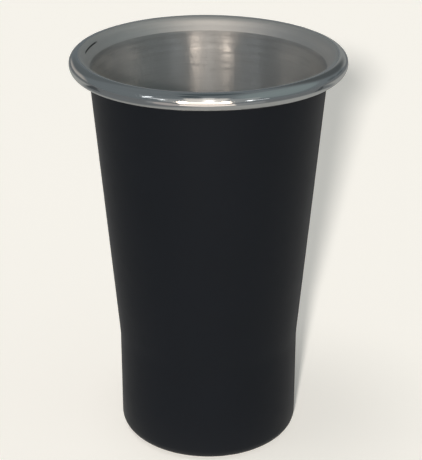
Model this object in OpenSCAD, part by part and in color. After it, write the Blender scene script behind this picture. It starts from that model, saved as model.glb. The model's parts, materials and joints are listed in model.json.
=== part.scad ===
// Tall aluminium drinking cup with a rolled rim, for long mixed drinks.
// One disc of sheet is drawn and spun into a cup, its edge is flared and curled outwards
// into a hollow bead, and the outside is powder coated from the base corner up to the curl.
// Millimetres, +Z up. The origin is on the table plane, at the centre of the base.

/* [Overall] */
// Diameter across the rolled rim
rim_d = 110; // [106:1:118]
// Height from the table to the top of the rim
cup_h = 166; // [150:1:190]

/* [Sheet and coat] */
// Thickness of the aluminium sheet
sheet_t = 1; // [0.7:0.1:1.4]
// Thickness of the powder coat
coat_t = 0.1; // [0.08:0.01:0.2]
// Clearance between the sheet and the coat
coat_gap = 0.1; // [0.05:0.01:0.15]

/* [Barrel] */
// Diameter of the straight lower part, over the coat
barrel_d = 75; // [68:0.5:80]
// Height of the bend where the wall starts to open out
shoulder_h = 42.5; // [32:0.5:60]
// Radius of that bend on the outside of the sheet
shoulder_r = 40; // [8:1:80]

/* [Wall and rim] */
// Diameter of the wall at the crease under the rim, over the coat
wall_top_d = 94.8; // [92:0.2:97]
// Drop from the top of the rim to the crease
flare_drop = 6.8; // [6.5:0.1:9]
// Radius of the crease on the outside of the sheet
crease_r = 1.5; // [1:0.5:6]
// Diameter of the rolled bead
bead_d = 7; // [5.5:0.1:7.5]
// Gap between the raw edge of the curl and the flare
curl_gap = 0.5; // [0.3:0.1:1]
// Length of coat on the flare, above the crease
coat_lap = 0.6; // [0.2:0.1:1.5]

/* [Base] */
// Radius of the base corner on the outside of the sheet
corner_r = 4.5; // [3:0.5:8]
// Width of the flat ring that the cup stands on
foot_w = 5; // [3:0.5:8]
// Height of the base panel above the table
recess_h = 1.8; // [1:0.1:3]
// Slope of the step from the foot ring up to the panel, in degrees
step_slope = 40; // [25:1:60]
// Radius of the two bends of that step
step_r = 2; // [1:0.1:2.5]
// Height of the lower edge of the coat above the table
coat_lift = 0.15; // [0.05:0.05:0.5]

/* [Hidden] */

// Turn of the outline between two points of a bend, in degrees
bend_step = 5;
// Segments of a full turn
$fn = 240;

// A station is [radius, height, heading] on the outside of the sheet. The heading is the way
// the outline runs from the base centre to the raw edge: 0 is outwards and 90 is upwards.
function ahead(heading) = [cos(heading), sin(heading)];
function leftwards(heading) = [-sin(heading), cos(heading)];

// Stations of an arc about a centre. It turns left where the heading grows.
function arc(centre, radius, from, to) =
    let (side = sign(to - from), steps = ceil(abs(to - from) / bend_step))
    [for (i = [0 : steps])
        let (heading = from + (to - from) * i / steps,
             spot = centre - side * radius * leftwards(heading))
        [spot.x, spot.y, heading]];

// Stations of the rounded corner between two straight stretches that meet at a point
function bend(corner, radius, from, to) =
    let (side = sign(to - from),
         start = corner - radius * tan(abs(to - from) / 2) * ahead(from))
    arc(start + side * radius * leftwards(from), radius, from, to);

// A list without its last entry, and that entry
function all_but_last(list) = [for (i = [0 : len(list) - 2]) list[i]];
function last_of(list) = list[len(list) - 1];

// The place of a station, moved square to the outline. Outwards from the sheet is positive.
function place(station, distance = 0) =
    [station.x, station.y] - distance * leftwards(station.z);

// Distance from the sheet to the outside of the coat
coat_out = coat_gap + coat_t;

// Corners of the sheet's outside at the shoulder and the crease, and the heading between them
barrel_r = barrel_d / 2 - coat_out;
shoulder_at = [barrel_r, shoulder_h];
crease_at = [wall_top_d / 2 - coat_out, cup_h - flare_drop];
rise = crease_at - shoulder_at;
wall_heading = atan2(rise.y, rise.x);

// The bead is a circle whose outside is the drinking side of the sheet
bead_r = bead_d / 2;
bead_at = [rim_d / 2 - bead_r, cup_h - bead_r];
curl_r = bead_r - sheet_t;

// The flare runs from the crease onto the bead, and the curl goes round until its raw edge
// comes to the stated gap from the flare
reach = bead_at - crease_at;
flare_heading = atan2(reach.y, reach.x) + asin(curl_r / norm(reach));
raw_heading = flare_heading + acos((curl_r - curl_gap) / bead_r) - 360;

// Corners of the step in the base, at the foot ring and at the panel
foot_in = barrel_r - corner_r - foot_w - step_r * tan(step_slope / 2);
foot_at = [foot_in, 0];
panel_at = [foot_in - recess_h / tan(step_slope), recess_h];

// The coat starts on the base corner at the heading where its lower edge clears the table
corner_at = [barrel_r - corner_r, corner_r];
coat_heading = acos((corner_r - coat_lift) / (corner_r + coat_out));
bare_corner = arc(corner_at, corner_r, 0, coat_heading);
coated_corner = arc(corner_at, corner_r, coat_heading, 90);

shoulder = bend(shoulder_at, shoulder_r, 90, wall_heading);
crease = bend(crease_at, crease_r, wall_heading, flare_heading);
curl = arc(bead_at, curl_r, flare_heading, raw_heading);

// Outline of the bare base, from its centre to the edge of the coat
base_outline = concat(
    [[0, recess_h, 0]],
    bend(panel_at, step_r, 0, -step_slope),
    bend(foot_at, step_r, -step_slope, 0),
    all_but_last(bare_corner)
);

// Outline of the coated wall, from the base corner to the crease
wall_outline = concat(coated_corner, shoulder, crease);

coat_end = place(last_of(crease)) + coat_lap * ahead(flare_heading);
coat_edge = [coat_end.x, coat_end.y, flare_heading];

// A layer of even thickness along an outline, turned about the axis
module turned_layer(outline, near, far) {
    last = len(outline) - 1;
    rotate_extrude()
        polygon(concat(
            [for (station = outline) place(station, far)],
            [for (i = [last : -1 : 0]) place(outline[i], near)]
        ));
}

// Drawn and spun aluminium: base panel, foot ring, barrel, wall, flare and hollow curl
module cup_shell() {
    color("silver") turned_layer(concat(base_outline, wall_outline, curl), -sheet_t, 0);
}

// Matt black powder coat on the outside of the barrel and wall
module outer_coat() {
    color("dimgray") turned_layer(concat(wall_outline, [coat_edge]), coat_gap, coat_out);
}

cup_shell();
outer_coat();
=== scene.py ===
import json
from collections import namedtuple
from math import acos, asin, atan2, ceil, cos, degrees, pi, radians, sin, tan

import bmesh
import bpy
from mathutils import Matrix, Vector


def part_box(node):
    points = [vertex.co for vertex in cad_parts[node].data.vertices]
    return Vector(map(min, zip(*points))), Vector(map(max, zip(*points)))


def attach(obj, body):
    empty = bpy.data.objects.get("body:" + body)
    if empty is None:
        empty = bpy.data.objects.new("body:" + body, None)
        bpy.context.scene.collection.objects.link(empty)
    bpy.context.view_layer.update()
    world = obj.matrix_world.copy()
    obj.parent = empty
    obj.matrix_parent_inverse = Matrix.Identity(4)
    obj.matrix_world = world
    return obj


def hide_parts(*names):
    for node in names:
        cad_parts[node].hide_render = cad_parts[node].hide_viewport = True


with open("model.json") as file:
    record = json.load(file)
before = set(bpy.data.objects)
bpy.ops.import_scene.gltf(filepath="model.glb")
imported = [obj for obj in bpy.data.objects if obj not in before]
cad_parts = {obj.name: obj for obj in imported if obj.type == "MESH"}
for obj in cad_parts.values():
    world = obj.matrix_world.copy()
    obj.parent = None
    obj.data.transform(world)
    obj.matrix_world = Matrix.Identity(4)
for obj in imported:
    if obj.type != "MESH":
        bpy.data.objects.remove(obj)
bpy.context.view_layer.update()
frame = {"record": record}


# Cup shell
# One disc of aluminium sheet about 1 mm thick, drawn and then spun over a former into base, barrel,
# wall and flare. Its edge is curled outwards into the hollow rim, so the whole cup is one piece.

MM = 0.001

shell_low, shell_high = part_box("cup_shell")
mounts = {mount["name"]: mount for mount in frame["record"]["mounts"]}

cup_h = shell_high.z
rim_r = (shell_high.x - shell_low.x) / 2
barrel_over_coat_r = mounts["holder_seat"]["dims"]["r_mm"] * MM
sheet_t = 1.0 * MM
# From the sheet to the outside of the coat, with the clearance that the solids keep between the two.
coat_out = 0.2 * MM
shoulder_h = 42.5 * MM
shoulder_r = 40 * MM
wall_top_r = 47.4 * MM
flare_drop = 6.8 * MM
crease_r = 1.5 * MM
bead_r = 3.5 * MM
curl_gap = 0.5 * MM
corner_r = 4.5 * MM
foot_w = 5 * MM
recess_h = 1.8 * MM
step_slope = radians(40)
step_r = 2 * MM
coat_lift = 0.15 * MM


# A station is a point on the outside of the sheet, as radius and height, with the heading of the outline
# there: 0 runs outwards and a quarter turn runs upwards.
def ahead(heading):
    return Vector((cos(heading), sin(heading)))


def leftwards(heading):
    return Vector((-sin(heading), cos(heading)))


def arc(centre, radius, start, end, step=radians(4)):
    side = 1 if end > start else -1
    steps = ceil(abs(end - start) / step)
    headings = [start + (end - start) * i / steps for i in range(steps + 1)]
    return [(centre - leftwards(h) * side * radius, h) for h in headings]


def bend(corner, radius, start, end):
    side = 1 if end > start else -1
    first = corner - ahead(start) * radius * tan(abs(end - start) / 2)
    return arc(first + leftwards(start) * side * radius, radius, start, end)


# Straight stretches get stations at an even pitch, so that they can carry the marks of the spinning tool.
def filled(stations, pitch):
    out = [stations[0]]
    for (a, _), (b, heading) in zip(stations, stations[1:]):
        steps = max(1, round((b - a).length / pitch))
        out += [(a.lerp(b, i / steps), heading) for i in range(1, steps + 1)]
    return out


barrel_r = barrel_over_coat_r - coat_out
shoulder_at = Vector((barrel_r, shoulder_h))
crease_at = Vector((wall_top_r - coat_out, cup_h - flare_drop))
wall_heading = atan2(crease_at.y - shoulder_at.y, crease_at.x - shoulder_at.x)
bead_at = Vector((rim_r - bead_r, cup_h - bead_r))
curl_r = bead_r - sheet_t
reach = bead_at - crease_at
flare_heading = atan2(reach.y, reach.x) + asin(curl_r / reach.length)
raw_heading = flare_heading + acos((curl_r - curl_gap) / bead_r) - 2 * pi
foot_in = barrel_r - corner_r - foot_w - step_r * tan(step_slope / 2)
panel_at = Vector((foot_in - recess_h / tan(step_slope), recess_h))
corner_at = Vector((barrel_r - corner_r, corner_r))
coat_heading = acos((corner_r - coat_lift) / (corner_r + coat_out))

base_stations = (
    [(Vector((0, recess_h)), 0)]
    + bend(panel_at, step_r, 0, -step_slope)
    + bend(Vector((foot_in, 0)), step_r, -step_slope, 0)
    + arc(corner_at, corner_r, 0, coat_heading)[:-1]
)
wall_stations = (
    arc(corner_at, corner_r, coat_heading, pi / 2)
    + bend(shoulder_at, shoulder_r, pi / 2, wall_heading)
)
crease_stations = bend(crease_at, crease_r, wall_heading, flare_heading)
curl_stations = arc(bead_at, curl_r, flare_heading, raw_heading)
sheet_stations = base_stations + wall_stations + crease_stations + curl_stations

# A point of a turned section has its place, the way that it faces, its distance along the sheet from the
# middle of the base, and whether it is on the drinking side.
SheetPoint = namedtuple("SheetPoint", "spot faces run inside")


def face_of(stations, distance, inside):
    points, run, before = [], 0, stations[0][0]
    for spot, heading in stations:
        run += (spot - before).length
        before = spot
        outwards = -leftwards(heading)
        points.append(SheetPoint(spot + outwards * distance, -outwards if inside else outwards, run, inside))
    return points


# The trimmed edge of the sheet is broken round, from the outside of the sheet to the drinking side.
def rounded_edge(stations, steps=6):
    spot, heading = stations[-1]
    middle = spot + leftwards(heading) * sheet_t / 2
    run = face_of(stations, 0, False)[-1].run
    turns = [pi * (i / steps - 0.5) for i in range(1, steps)]
    outwards = [ahead(heading) * cos(t) + leftwards(heading) * sin(t) for t in turns]
    return [SheetPoint(middle + way * sheet_t / 2, way, run, True) for way in outwards]


# Spinning leaves the wall a few hundredths of a millimetre out of round, and the rim a little out of flat.
def out_of_round(angle):
    return (0.03 * cos(2 * angle + 0.7) + 0.015 * cos(3 * angle - 0.4) - 0.045) * MM


def out_of_flat(angle):
    return 0.2 * MM * (cos(2 * (angle + radians(60))) - 1)


def turned_piece(name, section, relief, segments=192):
    mesh = bmesh.new()
    along = mesh.verts.layers.float.new("along_mm")
    bake = mesh.loops.layers.uv.new("OFBake")
    rings = []
    for point in section:
        on_axis = point.spot.x < 1e-9
        ring = []
        for j in range(1 if on_axis else segments):
            angle = 2 * pi * j / segments
            spot = point.spot + point.faces * relief(point, angle)
            share = 0 if on_axis else spot.y / cup_h
            radius = spot.x + out_of_round(angle) * share
            height = spot.y + out_of_flat(angle) * share ** 2
            vert = mesh.verts.new((radius * cos(angle), radius * sin(angle), height))
            vert[along] = point.run / MM
            ring.append(vert)
        rings.append(ring * segments if on_axis else ring)
    closed = section[0].spot.x > 1e-9
    steps = list(zip(section, section[1:] + section[:1]))[:None if closed else -1]
    lengths = [0]
    for a, b in steps:
        lengths.append(lengths[-1] + (b.spot - a.spot).length)
    for i in range(len(steps)):
        low, high = rings[i], rings[(i + 1) % len(rings)]
        v0, v1 = lengths[i] / lengths[-1], lengths[i + 1] / lengths[-1]
        for j in range(segments):
            k = (j + 1) % segments
            u0, u1 = j / segments, (j + 1) / segments
            corners = [(low[j], u0, v0), (low[k], u1, v0), (high[k], u1, v1), (high[j], u0, v1)]
            if low[j] is low[k]:
                corners.pop(1)
            if high[j] is high[k]:
                corners.pop(-2)
            face = mesh.faces.new([vert for vert, u, v in corners])
            face.smooth = True
            for loop, (vert, u, v) in zip(face.loops, corners):
                loop[bake].uv = (u, v)
    bmesh.ops.recalc_face_normals(mesh, faces=mesh.faces)
    data = bpy.data.meshes.new(name)
    mesh.to_mesh(data)
    mesh.free()
    piece = bpy.data.objects.new(name, data)
    bpy.context.scene.collection.objects.link(piece)
    return piece


# A smooth step, from 0 at the start to 1 at the end.
def ramp(value, start, end):
    share = min(1, max(0, (value - start) / (end - start)))
    return share * share * (3 - 2 * share)


# The curling roller slipped once and left a short score round the inner side of the bead, on the cup's left.
score_angle = radians(167.7)
score_half = radians(9)
score_r = bead_at.x - 2.9 * MM
score_reach = 0.45 * MM
upper_bead = [p for p in face_of(sheet_stations, -sheet_t, True) if p.spot.y > bead_at.y]
score_run = min(upper_bead, key=lambda p: abs(p.spot.x - score_r)).run


# The section of the curl isn't quite a circle. Its upper side is a little flat on the cup's front, the
# flare leans out, and the lower side is a little full. A turn is the way that the drinking side faces, in
# degrees: 0 is outwards and 90 is up. Depths are in millimetres.
curl_starts = face_of(sheet_stations, 0, False)[-len(curl_stations)].run
curl_turns_from = degrees(flare_heading) + 90
front_flat = 0.22
flare_lean = 0.26
lower_fullness = 0.2


def out_of_true(point, angle):
    turn = curl_turns_from - degrees((point.run - curl_starts) / curl_r)
    in_front = ramp(-sin(angle), 0.5, 0.82)
    flat = front_flat * ramp(turn, -12, 48) * ramp(turn, 90, 50) * in_front
    lean = flare_lean * ramp(turn, 105, 155) * ramp(turn, 240, 165)
    fuller = lower_fullness * ramp(turn, 10, -70) * ramp(turn, -170, -115)
    return fuller - flat - lean


# The tool leaves low rings on the drinking side of the wall, which die out at the base and at the crease,
# and deeper ones where it dwelt at the rear, under the crease. The curling roller leaves the bead a little
# lumpy. Pitches and depths are in millimetres.
ring_pitch = 5.3
ring_depth = 0.010
fine_ring_pitch = 3.4
fine_ring_depth = 0.006
dwell_pitch = 3.5
dwell_depth = 0.055
dwell_below_crease = 4.4
score_depth = 0.06


def tool_marks(point, angle):
    if not point.inside:
        return 0
    run = point.run / MM
    height = point.spot.y
    rings = ring_depth * sin(2 * pi * run / ring_pitch)
    rings += fine_ring_depth * sin(2 * pi * run / fine_ring_pitch + 1.3 * cos(angle))
    depth = (crease_at.y - height) / MM
    dwelt = cos(2 * pi * (depth - dwell_below_crease) / dwell_pitch)
    rings -= dwell_depth * dwelt * ramp(depth, 11, 6) * ramp(sin(angle), 0.5, 0.9)
    below_crease = 1 - ramp(height, crease_at.y - 3 * MM, crease_at.y)
    on_wall = ramp(height, 6 * MM, 16 * MM) * below_crease
    lumps = 0.012 * cos(7 * angle + 0.5) + 0.008 * cos(11 * angle + 2.0) - 0.02
    on_bead = ramp(point.spot.x, bead_at.x - bead_r, bead_at.x)
    across = ramp(abs(point.run - score_run), score_reach, 0)
    score = across * ramp(abs(angle - score_angle), 1.2 * score_half, score_half)
    return (rings * on_wall + lumps * on_bead - score_depth * score + out_of_true(point, angle)) * MM


inside_pitch = 0.9 * MM
outside_pitch = 4 * MM
shell_section = (
    face_of(filled(sheet_stations, outside_pitch), 0, False)
    + rounded_edge(sheet_stations)
    + face_of(filled(sheet_stations, inside_pitch), -sheet_t, True)[::-1]
)
shell = turned_piece("spun_shell", shell_section, tool_marks)


def linear(hex_colour):
    parts = [int(hex_colour[i:i + 2], 16) / 255 for i in (1, 3, 5)]
    return [c / 12.92 if c <= 0.04045 else ((c + 0.055) / 1.055) ** 2.4 for c in parts] + [1]


def empty_tree(owner):
    owner.use_nodes = True
    owner.node_tree.nodes.clear()
    return owner.node_tree


def add_node(tree, kind, inputs=None, **settings):
    node = tree.nodes.new(kind)
    for name, value in settings.items():
        setattr(node, name, value)
    for name, value in (inputs or {}).items():
        if isinstance(value, bpy.types.NodeSocket):
            tree.links.new(value, node.inputs[name])
        else:
            node.inputs[name].default_value = value
    return node


# Marks that run round the axis: noise that is fine along the sheet and long round the cup. The length is
# about 1 / turns of a radian.
def marks_round(tree, spacing_mm, turns, detail):
    place = add_node(tree, "ShaderNodeTexCoord").outputs["Object"]
    flat = add_node(tree, "ShaderNodeVectorMath", {0: place, 1: (1, 1, 0)}, operation="MULTIPLY").outputs[0]
    bearing = add_node(tree, "ShaderNodeVectorMath", {0: flat}, operation="NORMALIZE").outputs[0]
    spread = add_node(
        tree, "ShaderNodeVectorMath", {0: bearing, "Scale": turns}, operation="SCALE"
    ).outputs[0]
    along = add_node(tree, "ShaderNodeAttribute", attribute_name="along_mm").outputs["Fac"]
    across = add_node(tree, "ShaderNodeMath", {0: along, 1: 1 / spacing_mm}, operation="MULTIPLY").outputs[0]
    lift = add_node(tree, "ShaderNodeCombineXYZ", {"Z": across}).outputs[0]
    spot = add_node(tree, "ShaderNodeVectorMath", {0: spread, 1: lift}, operation="ADD").outputs[0]
    return add_node(
        tree, "ShaderNodeTexNoise", {"Vector": spot, "Scale": 1.0, "Detail": detail, "Roughness": 0.6}
    ).outputs["Fac"]


crease_run = face_of(base_stations + wall_stations + crease_stations, 0, False)[-1].run / MM

# Spun aluminium: bare sheet turned against a steel tool, which leaves fine lines round the axis. Light
# spreads across the lines into soft bars up and down the wall, broken where the tool pressed harder.
spun = bpy.data.materials.new("spun_aluminium")
tree = empty_tree(spun)

# Tool lines are about 0.2 mm apart and are drawn at 0.7 mm so that they show.
lines = marks_round(tree, 0.7, 0.8, 3.0)
passes = marks_round(tree, 5.0, 0.8, 2.0)
scuffs = marks_round(tree, 2.0, 3.0, 1.0)
scratches = marks_round(tree, 1.1, 4.0, 3.0)
place = add_node(tree, "ShaderNodeTexCoord").outputs["Object"]
stain = 16 * MM
stains = add_node(
    tree, "ShaderNodeTexNoise", {"Vector": place, "Scale": 1 / stain, "Detail": 3.0, "Roughness": 0.55}
).outputs["Fac"]

worn = add_node(
    tree, "ShaderNodeMix", {"Factor": lines, 6: linear("#DCDBD8"), 7: linear("#EFEEEC")}, data_type="RGBA"
).outputs[2]
colour = add_node(
    tree, "ShaderNodeMix", {"Factor": stains, 6: worn, 7: linear("#DDDCD9")}, data_type="RGBA"
).outputs[2]
pressed = add_node(tree, "ShaderNodeMix", {"Factor": 0.35, "A": passes, "B": scuffs}).outputs["Result"]
worked = add_node(
    tree, "ShaderNodeMapRange",
    {"Value": pressed, "From Min": 0.35, "From Max": 0.65, "To Min": 0.37, "To Max": 0.45},
).outputs["Result"]
rubbed = add_node(
    tree, "ShaderNodeMapRange",
    {"Value": scratches, "From Min": 0.54, "From Max": 0.7, "To Min": 0.0, "To Max": 0.3},
).outputs["Result"]

# The sheet is duller just under the crease, and smoother in the ring where the tool dwelt.
along = add_node(tree, "ShaderNodeAttribute", attribute_name="along_mm").outputs["Fac"]
dull = add_node(
    tree, "ShaderNodeMapRange",
    {"Value": along, "From Min": crease_run - 1.6, "From Max": crease_run - 0.6,
     "To Min": 0.0, "To Max": 0.12},
).outputs["Result"]
dwell_run = crease_run - 6.1
from_ring = add_node(tree, "ShaderNodeMath", {0: along, 1: dwell_run}, operation="SUBTRACT").outputs[0]
off_ring = add_node(tree, "ShaderNodeMath", {0: from_ring}, operation="ABSOLUTE").outputs[0]
dwell = add_node(
    tree, "ShaderNodeMapRange",
    {"Value": off_ring, "From Min": 0.4, "From Max": 1.8, "To Min": -0.07, "To Max": 0.0},
).outputs["Result"]
roughness = worked
for change in (rubbed, dull, dwell):
    roughness = add_node(tree, "ShaderNodeMath", {0: roughness, 1: change}, operation="ADD").outputs[0]

# Shallow dents from the former, some millimetres across, ripple what the wall reflects.
dent = 7 * MM
dents = add_node(
    tree, "ShaderNodeTexNoise", {"Vector": place, "Scale": 1 / dent, "Detail": 3.0, "Roughness": 0.6}
).outputs["Fac"]
dented = add_node(
    tree, "ShaderNodeBump", {"Strength": 1.0, "Distance": 0.15 * MM, "Height": dents}
).outputs["Normal"]
bump = add_node(
    tree, "ShaderNodeBump", {"Strength": 0.2, "Distance": 0.02 * MM, "Height": lines, "Normal": dented}
).outputs["Normal"]
round_axis = add_node(tree, "ShaderNodeTangent", direction_type="RADIAL", axis="Z").outputs[0]
metal = add_node(
    tree, "ShaderNodeBsdfPrincipled",
    {"Base Color": colour, "Metallic": 0.95, "Roughness": roughness, "Normal": bump,
     "Anisotropic": 1.0, "Anisotropic Rotation": 0.25, "Tangent": round_axis},
).outputs["BSDF"]
add_node(tree, "ShaderNodeOutputMaterial", {"Surface": metal})

# Rolled aluminium: the same sheet where the curling roller ran. The outer half of the bead is burnished
# nearly to a mirror and shows lamps as small bright spots. The flare stays satin, duller towards the top.
rolled = bpy.data.materials.new("rolled_aluminium")
tree = empty_tree(rolled)

lines = marks_round(tree, 0.9, 0.8, 3.0)
round_axis = add_node(tree, "ShaderNodeTangent", direction_type="RADIAL", axis="Z").outputs[0]
place = add_node(tree, "ShaderNodeTexCoord").outputs["Object"]
flat = add_node(tree, "ShaderNodeVectorMath", {0: place, 1: (1, 1, 0)}, operation="MULTIPLY").outputs[0]
radius = add_node(tree, "ShaderNodeVectorMath", {0: flat}, operation="LENGTH").outputs["Value"]
outer_half = add_node(
    tree, "ShaderNodeMapRange",
    {"Value": radius, "From Min": bead_at.x - 0.7 * MM, "From Max": bead_at.x + 0.1 * MM},
    interpolation_type="SMOOTHSTEP",
).outputs["Result"]
upwards = add_node(
    tree, "ShaderNodeMapRange",
    {"Value": radius, "From Min": bead_at.x - 3.2 * MM, "From Max": bead_at.x - 1.4 * MM,
     "To Min": 0.58, "To Max": 0.72},
).outputs["Result"]
grain = add_node(
    tree, "ShaderNodeMapRange",
    {"Value": lines, "From Min": 0.3, "From Max": 0.7, "To Min": -0.03, "To Max": 0.03},
).outputs["Result"]
satin = add_node(tree, "ShaderNodeMath", {0: upwards, 1: grain}, operation="ADD").outputs[0]
bright = add_node(
    tree, "ShaderNodeMapRange",
    {"Value": lines, "From Min": 0.3, "From Max": 0.7, "To Min": 0.08, "To Max": 0.13},
).outputs["Result"]
roughness = add_node(tree, "ShaderNodeMix", {"Factor": outer_half, "A": satin, "B": bright}).outputs["Result"]
colour = add_node(
    tree, "ShaderNodeMix", {"Factor": lines, 6: linear("#E6E4E0"), 7: linear("#F5F4F2")}, data_type="RGBA"
).outputs[2]

# The score is coloured dark grey along its middle.
bearing = add_node(tree, "ShaderNodeVectorMath", {0: flat}, operation="NORMALIZE").outputs[0]
score_way = (cos(score_angle), sin(score_angle), 0)
facing = add_node(
    tree, "ShaderNodeVectorMath", {0: bearing, 1: score_way}, operation="DOT_PRODUCT"
).outputs["Value"]
along_score = add_node(
    tree, "ShaderNodeMapRange",
    {"Value": facing, "From Min": cos(score_half * 1.15), "From Max": cos(score_half * 0.8)},
).outputs["Result"]
along = add_node(tree, "ShaderNodeAttribute", attribute_name="along_mm").outputs["Fac"]
from_score = add_node(tree, "ShaderNodeMath", {0: along, 1: score_run / MM}, operation="SUBTRACT").outputs[0]
off_score = add_node(tree, "ShaderNodeMath", {0: from_score}, operation="ABSOLUTE").outputs[0]
across_score = add_node(
    tree, "ShaderNodeMapRange", {"Value": off_score, "From Min": 0.32, "From Max": 0.1}
).outputs["Result"]
score_grey = add_node(tree, "ShaderNodeMath", {0: along_score, 1: across_score}, operation="MULTIPLY").outputs[0]
colour = add_node(
    tree, "ShaderNodeMix", {"Factor": score_grey, 6: colour, 7: linear("#3A3B3C")}, data_type="RGBA"
).outputs[2]
bump = add_node(
    tree, "ShaderNodeBump", {"Strength": 0.25, "Distance": 0.02 * MM, "Height": lines}
).outputs["Normal"]
metal = add_node(
    tree, "ShaderNodeBsdfPrincipled",
    {"Base Color": colour, "Metallic": 1.0, "Roughness": roughness, "Normal": bump,
     "Anisotropic": 0.1, "Anisotropic Rotation": 0.25, "Tangent": round_axis},
).outputs["BSDF"]
add_node(tree, "ShaderNodeOutputMaterial", {"Surface": metal})

shell.data.materials.append(spun)
shell.data.materials.append(rolled)
run_at = shell.data.attributes["along_mm"].data
for face in shell.data.polygons:
    face.material_index = int(min(run_at[i].value for i in face.vertices) >= crease_run)
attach(shell, "root")
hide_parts("cup_shell")


# Powder coat
# Polyester powder sprayed on the outside of the cup and baked to a matt black skin about 0.1 mm thick.
# It starts on the base corner, clear of the table, and ends under the curl of the rim. Here it is drawn
# from the face of the sheet, so it is 0.2 mm thick.

coat_lap = 0.6 * MM
coat_pitch = 2 * MM
coat_end = crease_stations[-1][0] + ahead(flare_heading) * coat_lap
coat_stations = filled(wall_stations + crease_stations + [(coat_end, flare_heading)], coat_pitch)


def smooth_skin(point, angle):
    return 0


coat_section = face_of(coat_stations, coat_out, False) + face_of(coat_stations, 0, True)[::-1]
coat = turned_piece("powder_coat", coat_section, smooth_skin)

# Baked polyester powder: matt and nearly black, with a fine pebbled skin where the grains ran together.
# It gives a dull, wide sheen that grows pale only along the outline of the cup.
powder = bpy.data.materials.new("black_powder_coat")
tree = empty_tree(powder)

place = add_node(tree, "ShaderNodeTexCoord").outputs["Object"]

# Pebbles are about 0.4 mm across and are drawn at 0.9 mm so that they show.
pebble = 0.9 * MM
pebbles = add_node(
    tree, "ShaderNodeTexNoise", {"Vector": place, "Scale": 1 / pebble, "Detail": 2.0, "Roughness": 0.5}
).outputs["Fac"]
cloud = 18 * MM
clouds = add_node(
    tree, "ShaderNodeTexNoise", {"Vector": place, "Scale": 1 / cloud, "Detail": 3.0, "Roughness": 0.55}
).outputs["Fac"]
colour = add_node(
    tree, "ShaderNodeMix", {"Factor": clouds, 6: linear("#0B0E12"), 7: linear("#0E1116")}, data_type="RGBA"
).outputs[2]
roughness = add_node(
    tree, "ShaderNodeMapRange",
    {"Value": clouds, "From Min": 0.3, "From Max": 0.7, "To Min": 0.62, "To Max": 0.72},
).outputs["Result"]
bump = add_node(
    tree, "ShaderNodeBump", {"Strength": 0.25, "Distance": 0.05 * MM, "Height": pebbles}
).outputs["Normal"]
skin = add_node(
    tree, "ShaderNodeBsdfPrincipled",
    {"Base Color": colour, "Roughness": roughness, "Normal": bump, "IOR": 1.5, "Specular IOR Level": 0.2,
     "Sheen Weight": 0.045, "Sheen Roughness": 0.5},
).outputs["BSDF"]
add_node(tree, "ShaderNodeOutputMaterial", {"Surface": skin})

coat.data.materials.append(powder)
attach(coat, "root")
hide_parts("outer_coat")


# Floor
# A floor of matt cream paper that the cup stands on. It runs on nearly to the horizon, so that low views
# see little but paper behind the cup.

floor_half = 40.0
floor_data = bpy.data.meshes.new("floor")
floor_corners = [(-1, -1), (1, -1), (1, 1), (-1, 1)]
floor_data.from_pydata([(x * floor_half, y * floor_half, 0) for x, y in floor_corners], [], [(0, 1, 2, 3)])
floor = bpy.data.objects.new("floor", floor_data)
bpy.context.scene.collection.objects.link(floor)

# Cream paper: matt and without gloss, so that it shows nothing but the cup's shadow.
paper = bpy.data.materials.new("cream_paper")
tree = empty_tree(paper)
cream = linear("#F7F3EB")
matt = add_node(tree, "ShaderNodeBsdfDiffuse", {"Color": cream}).outputs[0]
rays = add_node(tree, "ShaderNodeLightPath").outputs
mirrored = add_node(
    tree, "ShaderNodeMath", {0: rays["Is Glossy Ray"], 1: rays["Is Transmission Ray"]}, operation="MAXIMUM"
).outputs[0]
seen = add_node(
    tree, "ShaderNodeMath", {0: rays["Is Camera Ray"], 1: mirrored}, operation="MAXIMUM"
).outputs[0]

# The share of the paper's colour that the camera and gloss see in any light, which keeps the ground pale.
fill = 0.26
lift = add_node(tree, "ShaderNodeMath", {0: seen, 1: fill}, operation="MULTIPLY").outputs[0]
even = add_node(tree, "ShaderNodeEmission", {"Color": cream, "Strength": lift}).outputs[0]
surface = add_node(tree, "ShaderNodeAddShader", {0: matt, 1: even}).outputs[0]
add_node(tree, "ShaderNodeOutputMaterial", {"Surface": surface})
floor_data.materials.append(paper)


# Grey card
# A ring of grey card on the floor round the cup, as a studio lays it down to keep the pale floor out of
# polished metal, with two strips of dark felt on it. Only reflections see them.

card_inner = 45 * MM
card_outer = 60.0
card_steps = 48
card_bearings = [2 * pi * i / card_steps for i in range(card_steps + 1)]
card_points = [(r * sin(b), -r * cos(b), 0.5 * MM) for b in card_bearings for r in (card_inner, card_outer)]
card_data = bpy.data.meshes.new("grey_card")
card_data.from_pydata(card_points, [], [(2 * i, 2 * i + 1, 2 * i + 3, 2 * i + 2) for i in range(card_steps)])
card = bpy.data.objects.new("grey_card", card_data)
card.visible_camera = False
card.visible_diffuse = False
card.visible_shadow = False
bpy.context.scene.collection.objects.link(card)

# Grey board: matt, with two paler areas that give the metal soft light bands.
board = bpy.data.materials.new("grey_board")
tree = empty_tree(board)
place = add_node(tree, "ShaderNodeTexCoord").outputs["Object"]
reach = add_node(tree, "ShaderNodeVectorMath", {0: place}, operation="LENGTH").outputs["Value"]

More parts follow.
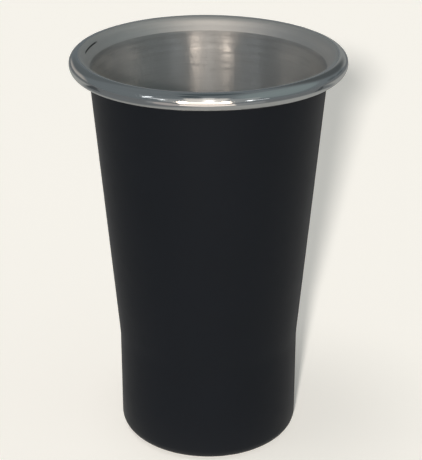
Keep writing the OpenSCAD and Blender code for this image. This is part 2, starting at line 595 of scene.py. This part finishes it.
# A paler area: a direction, where along it the area begins and is full, and the distances from the cup's
# axis at which it fades and ends, all in metres.
pale_areas = [
    ((0, 1, 0), 0.14, 0.22, 0.6, 0.9),
    ((1, 0.4, 0), -0.17, -0.10, 0.24, 0.30),
]
pale = 0.0
for way, start, full, fade, end in pale_areas:
    value = add_node(
        tree, "ShaderNodeVectorMath", {0: place, 1: way}, operation="DOT_PRODUCT"
    ).outputs["Value"]
    inner = add_node(
        tree, "ShaderNodeMapRange", {"Value": value, "From Min": start, "From Max": full}
    ).outputs["Result"]
    outer = add_node(
        tree, "ShaderNodeMapRange", {"Value": reach, "From Min": end, "From Max": fade}
    ).outputs["Result"]
    band = add_node(tree, "ShaderNodeMath", {0: inner, 1: outer}, operation="MULTIPLY").outputs[0]
    pale = add_node(tree, "ShaderNodeMath", {0: band, 1: pale}, operation="MAXIMUM").outputs[0]
shade = add_node(
    tree, "ShaderNodeMix", {"Factor": pale, 6: linear("#7B7F82"), 7: linear("#B0B1AF")}, data_type="RGBA"
).outputs[2]
matt = add_node(tree, "ShaderNodeBsdfDiffuse", {"Color": shade}).outputs[0]
add_node(tree, "ShaderNodeOutputMaterial", {"Surface": matt})
card_data.materials.append(board)

# A strip: its two ends, and half its width, in metres.
strip_lines = [((0.3, 0.045), (0.95, 0.16), 0.028), ((-0.3, 0.09), (-1.2, 0.2), 0.06)]
strip_points = []
for start, end, half in strip_lines:
    start, end = Vector(start), Vector(end)
    side = (end - start).normalized().orthogonal() * half
    strip_points += [(*spot, 0.8 * MM) for spot in (start - side, start + side, end + side, end - side)]
strip_data = bpy.data.meshes.new("dark_strips")
strip_data.from_pydata(strip_points, [], [(0, 1, 2, 3), (4, 5, 6, 7)])
strips = bpy.data.objects.new("dark_strips", strip_data)
strips.visible_camera = False
strips.visible_diffuse = False
strips.visible_shadow = False
bpy.context.scene.collection.objects.link(strips)

# Dark felt: matt, and darker than the board, which draws dark lines along the bead.
felt = bpy.data.materials.new("dark_felt")
tree = empty_tree(felt)
matt = add_node(tree, "ShaderNodeBsdfDiffuse", {"Color": linear("#55595C")}).outputs[0]
add_node(tree, "ShaderNodeOutputMaterial", {"Surface": matt})
strip_data.materials.append(felt)


# Light
# A dim room with paler walls and dark corners. A low, soft sun in front, a little to the left, and a weak
# sky overhead light the matt surfaces and draw the shadow. Windows and small lamps in front are seen only
# in gloss.

world = bpy.data.worlds.new("room")
bpy.context.scene.world = world
tree = empty_tree(world)
place = add_node(tree, "ShaderNodeTexCoord").outputs["Generated"]


# Bearings are from the camera's side of the cup, in degrees, right being positive. Rises are above level.
def away(bearing, rise):
    b, r = radians(bearing), radians(rise)
    return Vector((sin(b) * cos(r), -cos(b) * cos(r), sin(r)))


# Walls and dark corners of the room: bearing, rise, radius and soft edge in degrees, and colour.
corners = [
    (-134, -4, 16, 10, "#A4A19E"),
    (117, 9, 4, 4, "#585F62"),
    (131, 3, 4, 4, "#585F62"),
    (158, 12, 12, 8, "#888B8B"),
    (76, 45, 25, 8, "#7A8587"),
    (-40, 76, 4, 3, "#3E484C"),
    (180, 80, 8, 6, "#465054"),
    (-147, 30, 12, 14, "#5C6265"),
    (147, 32, 12, 14, "#4E5355"),
]
room = linear("#6A7175")
for bearing, rise, radius, soft, hex_colour in corners:
    facing = add_node(
        tree, "ShaderNodeVectorMath", {0: place, 1: away(bearing, rise)}, operation="DOT_PRODUCT"
    ).outputs["Value"]
    share = add_node(
        tree, "ShaderNodeMapRange",
        {"Value": facing, "From Min": cos(radians(radius + soft)), "From Max": cos(radians(radius))},
        interpolation_type="SMOOTHSTEP",
    ).outputs["Result"]
    room = add_node(
        tree, "ShaderNodeMix", {"Factor": share, 6: room, 7: linear(hex_colour)}, data_type="RGBA"
    ).outputs[2]
glow = add_node(tree, "ShaderNodeBackground", {"Color": room, "Strength": 1.0}).outputs[0]
add_node(tree, "ShaderNodeOutputWorld", {"Surface": glow})

lit_at = Vector((0, 0, 0.16))


def add_lamp(name, kind, bearing, rise, colour, distance):
    data = bpy.data.lights.new(name, kind)
    data.color = linear(colour)[:3]
    thing = bpy.data.objects.new(name, data)
    thing.location = lit_at + away(bearing, rise) * distance
    thing.rotation_euler = away(bearing, rise).to_track_quat("Z", "Y").to_euler()
    thing.visible_camera = False
    thing.visible_diffuse = kind == "SUN"
    thing.visible_glossy = kind != "SUN"
    bpy.context.scene.collection.objects.link(thing)
    return thing


# A window spans bearings and rises. A brightness of 1 is white.
def window(name, bearings, rises, brightness, colour, distance=1.2, shape="RECTANGLE"):
    bearing, rise = sum(bearings) / 2, sum(rises) / 2
    thing = add_lamp(name, "AREA", bearing, rise, colour, distance)
    data = thing.data
    data.shape = shape
    data.size = 2 * distance * tan(radians(bearings[1] - bearings[0]) / 2) * cos(radians(rise))
    data.size_y = 2 * distance * tan(radians(rises[1] - rises[0]) / 2)
    data.energy = brightness * pi * data.size * data.size_y * (pi / 4 if shape == "ELLIPSE" else 1)


sun = add_lamp("sun", "SUN", -8, 18.5, "#FFFCFA", 2)
sun.data.energy = 4.4
sun.data.angle = radians(3.5)
sky = add_lamp("sky", "SUN", -80, 79, "#FFFCFA", 2)
sky.data.energy = 0.45
sky.data.angle = radians(24)

window("window_bar", (-5, 5), (13, 44), 0.42, "#FFFAF6")
window("window_top", (-8, 6), (52, 70), 0.3, "#FFFAF6")
window("window_high", (-20, 15), (13, 62), 0.42, "#FFF4E8")
window("window_wide", (-42, 40), (8, 50), 0.12, "#F6F6F2")
window("window_low", (-23, 18), (-13, 22), 1.15, "#FFEEDE", shape="ELLIPSE")
window("table_card", (-20, 18.5), (-24, -9), 0.8, "#FFF0E2", 0.2)
window("table_left", (-40, -20), (-30, -2), 0.16, "#FFE6D8", 0.22, "ELLIPSE")
window("table_wide", (-46, 42), (-30, -6), 0.1, "#F0F4F6", 0.22)
window("jamb_left", (-23.5, -17), (3, 26), 7.6, "#FFEEDE", shape="ELLIPSE")
window("jamb_right", (10.5, 16), (3, 26), 9.0, "#FFEEDE", shape="ELLIPSE")
window("spot_middle", (-2.5, 3.5), (28, 46), 0.8, "#FFFFFF")
window("spot_left", (-57, -53.5), (25, 44), 2.2, "#F4FAFF", shape="ELLIPSE")
window("spot_left_line", (-53, -40), (27, 31.5), 0.7, "#F4FAFF")
window("spot_left_tail", (-39.5, -36), (23, 30), 1.6, "#F4FAFF")
window("spot_right", (29.5, 35), (13, 20), 2.2, "#F4FAFF", shape="ELLIPSE")
window("spot_right_line", (33, 48), (12, 16), 0.6, "#F4FAFF")


# Camera
# At the photograph's height and tilt, on the cup's -Y side.

image_w_px = 422
image_h_px = 460
focal_px = 1417.0
axis_at_px = 208.4
camera_back = 537.3 * MM
camera_height = 329.6 * MM
camera_tilt = radians(24.16)

camera_data = bpy.data.cameras.new("camera")
camera_data.sensor_width = 36
camera_data.lens = camera_data.sensor_width * focal_px / image_h_px
camera_data.shift_x = (image_w_px / 2 - axis_at_px) / image_h_px
camera_data.clip_start = 0.01
camera = bpy.data.objects.new("camera", camera_data)
camera.location = (0, -camera_back, camera_height)
camera.rotation_euler = (pi / 2 - camera_tilt, 0, 0)
bpy.context.scene.collection.objects.link(camera)
bpy.context.scene.camera = camera
bpy.context.scene.view_settings.view_transform = "Standard"
